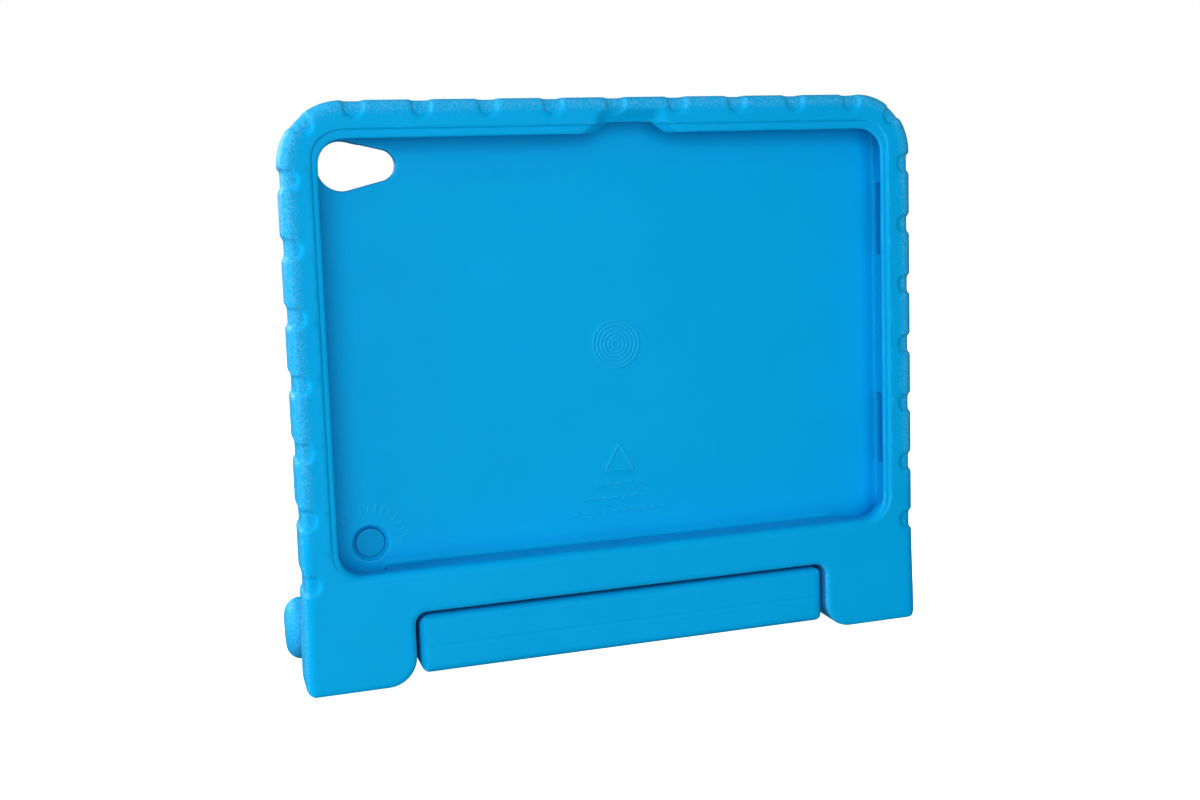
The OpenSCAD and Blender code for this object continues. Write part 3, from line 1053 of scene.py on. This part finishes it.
class CASE_OT_knobs(bpy.types.Operator):
    """Build the two domed knobs on the ends of the hinge bolts"""

    bl_idname = "foam_case.knobs"
    bl_label = "Hinge knobs"

    def execute(self, context):
        sizes = context.scene.foam_handle
        material = moulded_foam("Moulded EVA foam, knobs", sizes.colour)
        for side in ("left", "right"):
            node = "hinge_knob_" + side
            low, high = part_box(node)
            middle = (low + high) / 2
            sign = 1 if middle.x > 0 else -1
            inner = low.x if sign > 0 else high.x
            length = high.x - low.x
            radius = (high.z - low.z) / 2
            origin = Vector((inner, middle.y, middle.z))
            profile = [
                (0, 13.1 * MM),
                (8.1 * MM, 13.1 * MM),
                (8.1 * MM, 0),
                (radius, 0),
                (radius, length - 1.2 * MM),
                (radius * 0.5, length - 0.25 * MM),
                (0, length),
            ]
            piece = turned(
                "knob_" + side,
                profile,
                origin,
                Vector((sign, 0, 0)),
                {3: 0.8 * MM, 4: sizes.knob_round},
            )
            paint(piece, 0.9, 0.5, 2.0 * MM)
            finish_piece(piece, "handle", [node], material)
        return {"FINISHED"}


class CASE_OT_caps(bpy.types.Operator):
    """Build the two dished caps over the bolt heads"""

    bl_idname = "foam_case.caps"
    bl_label = "Bolt caps"

    def execute(self, context):
        material = moulded_foam("Moulded EVA foam, caps", context.scene.foam_handle.cap_colour)
        for side in ("left", "right"):
            node = "bolt_cap_" + side
            low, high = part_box(node)
            middle = (low + high) / 2
            sign = 1 if middle.x > 0 else -1
            face = low.x if sign > 0 else high.x
            length, radius = high.x - low.x, (high.z - low.z) / 2
            origin = Vector((face, middle.y, middle.z))
            profile = [
                (0, 0.8 * MM),
                (radius * 0.55, 0.55 * MM),
                (radius * 0.8, 0),
                (radius, 0),
                (radius, length),
                (0, length),
            ]
            piece = turned(
                "cap_" + side,
                profile,
                origin,
                Vector((sign, 0, 0)),
                {3: 0.5 * MM, 4: 0.3 * MM},
            )
            paint(piece, 0.3, 0.4, 1.0 * MM)
            finish_piece(piece, "handle", [node], material)
        return {"FINISHED"}


class CASE_OT_hardware(bpy.types.Operator):
    """Give the core, bolts, washers, bushings and hubs their finishes"""

    bl_idname = "foam_case.hardware"
    bl_label = "Hinge hardware"

    def execute(self, context):
        core = moulded_plastic("Moulded polypropylene, black", "#2B2C2F", 0.5)
        hinge = moulded_plastic("Moulded ABS, black", "#222326", 0.38)
        nylon = moulded_plastic("Moulded nylon, natural", "#DEDCD2", 0.45)
        steel = plated_steel("Turned steel, zinc plated", "#B4B7BC")
        finishes = {
            "handle_core": core,
            "hinge_bushing": hinge,
            "knob_hub": hinge,
            "hinge_washer": nylon,
            "hinge_bolt": steel,
        }
        for start, material in finishes.items():
            nodes = [o for n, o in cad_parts.items() if n.startswith(start)]
            if not nodes:
                raise RuntimeError("the frame has no node named " + start)
            for node in nodes:
                node.data.materials.clear()
                node.data.materials.append(material)
        return {"FINISHED"}


class CASE_OT_stage(bpy.types.Operator):
    """Set up the pale floor, the soft studio light and the camera"""

    bl_idname = "foam_case.stage"
    bl_label = "Studio stage"

    def execute(self, context):
        settings = context.scene.foam_stage
        scene = context.scene
        scene.view_settings.view_transform = "Standard"
        # the contrast of a studio print
        scene.view_settings.gamma = 0.8

        shape = bmesh.new()
        bmesh.ops.create_grid(shape, x_segments=8, y_segments=8, size=6.0)
        floor = new_piece("floor", shape)
        material, tree = blank_material("Matt white paper")
        place = add(tree, "ShaderNodeTexCoord").outputs["Object"]
        fibre = add(
            tree, "ShaderNodeTexNoise", {"Vector": place, "Scale": 400.0, "Detail": 3.0}
        ).outputs["Fac"]
        bump = add(
            tree, "ShaderNodeBump", {"Height": fibre, "Strength": 0.05, "Distance": 0.1 * MM}
        ).outputs["Normal"]
        paper = add(
            tree,
            "ShaderNodeBsdfPrincipled",
            {
                "Base Color": linear("#F8F8F8"),
                "Roughness": 0.9,
                "Specular IOR Level": 0.1,
                "Emission Color": linear("#FFFFFF"),
                "Emission Strength": 0.97,
                "Normal": bump,
            },
        )
        add(tree, "ShaderNodeOutputMaterial", {"Surface": paper.outputs["BSDF"]})
        floor.data.materials.append(material)
        # the paper throws no light back up at the foam
        floor.visible_diffuse = False
        floor.visible_glossy = False

        # a white room where the camera looks past the floor; as light it is dim, most from above
        world = bpy.data.worlds.new("White room")
        world.use_nodes = True
        tree = world.node_tree
        tree.nodes.clear()
        way = add(tree, "ShaderNodeTexCoord").outputs["Generated"]
        height = add(tree, "ShaderNodeSeparateXYZ", {"Vector": way}).outputs["Z"]
        sky = add(
            tree,
            "ShaderNodeMapRange",
            {
                "Value": height,
                "From Min": -0.5,
                "From Max": 0.7,
                "To Min": 0.18 * settings.light,
                "To Max": 0.28 * settings.light,
            },
        ).outputs["Result"]
        glow = add(tree, "ShaderNodeBackground", {"Color": linear("#FFFFFF"), "Strength": sky})
        white = add(tree, "ShaderNodeBackground", {"Color": linear("#FFFFFF"), "Strength": 1.0})
        seen = add(tree, "ShaderNodeLightPath").outputs["Is Camera Ray"]
        both = add(
            tree,
            "ShaderNodeMixShader",
            {0: seen, 1: glow.outputs["Background"], 2: white.outputs["Background"]},
        )
        add(tree, "ShaderNodeOutputWorld", {"Surface": both.outputs["Shader"]})
        scene.world = world
        # the room is left out of glossy rays, so its walls don't mirror in the foam
        world.cycles_visibility.glossy = False

        middle = (CAD_BOX[0] + CAD_BOX[1]) / 2
        # name, place, size, power: a broad box in front, a little to the left; small ones far left
        # and behind on the left, which catch the side wall and the rounded edge; a weak one above
        boxes = (
            ("Key soft box", (-0.3, -1.2, 0.12), 1.7, 22.0),
            ("Left soft box", (-1.15, -0.12, 0.5), 0.4, 6.5),
            ("Rim soft box", (-0.7, 0.75, 0.45), 0.5, 7.0),
            ("Top soft box", (-0.3, 0.2, 1.2), 0.6, 2.5),
        )
        for name, spot, size, power in boxes:
            lamp = bpy.data.lights.new(name, "AREA")
            lamp.shape = "SQUARE"
            lamp.size = size
            lamp.energy = power * settings.light
            box = bpy.data.objects.new(name, lamp)
            box.location = spot
            # the key would lie as a haze over the flat faces
            box.visible_glossy = not name.startswith("Key")
            aim = middle - Vector(spot)
            box.rotation_euler = aim.to_track_quat("-Z", "Y").to_euler()
            scene.collection.objects.link(box)

        eye = bpy.data.cameras.new("Camera")
        eye.sensor_width = 36
        eye.lens = settings.lens
        eye.shift_x = -0.01463
        eye.shift_y = -0.0549
        eye.clip_start = 0.01
        eye.clip_end = 50
        camera = bpy.data.objects.new("Camera", eye)
        camera.location = settings.camera_place
        camera.rotation_euler = settings.camera_turn
        scene.collection.objects.link(camera)
        scene.camera = camera
        return {"FINISHED"}


class CASE_PT_panel(bpy.types.Panel):
    """Lists the steps that build the case"""

    bl_idname = "CASE_PT_panel"
    bl_label = "Foam Case"
    bl_space_type = "VIEW_3D"
    bl_region_type = "UI"
    bl_category = "Foam Case"

    def draw(self, context):
        column = self.layout.column()
        for step in STEPS:
            column.operator(step.bl_idname)


STEPS = (
    CASE_OT_shell,
    CASE_OT_plug,
    CASE_OT_handle,
    CASE_OT_knobs,
    CASE_OT_caps,
    CASE_OT_hardware,
    CASE_OT_stage,
)
SETTINGS = (FoamShellSettings, HandleSettings, StageSettings)


def register():
    """Adds the settings, the operators and the panel to Blender."""
    for kind in (*SETTINGS, *STEPS, CASE_PT_panel):
        bpy.utils.register_class(kind)
    bpy.types.Scene.foam_shell = PointerProperty(type=FoamShellSettings)
    bpy.types.Scene.foam_handle = PointerProperty(type=HandleSettings)
    bpy.types.Scene.foam_stage = PointerProperty(type=StageSettings)


def unregister():
    """Takes them out again."""
    del bpy.types.Scene.foam_shell
    del bpy.types.Scene.foam_handle
    del bpy.types.Scene.foam_stage
    for kind in reversed((*SETTINGS, *STEPS, CASE_PT_panel)):
        bpy.utils.unregister_class(kind)


def main():
    """Builds every piece and the stage."""
    register()
    bpy.ops.foam_case.shell()
    bpy.ops.foam_case.plug()
    bpy.ops.foam_case.handle()
    bpy.ops.foam_case.knobs()
    bpy.ops.foam_case.caps()
    bpy.ops.foam_case.hardware()
    bpy.ops.foam_case.stage()


if __name__ == "__main__":
    main()
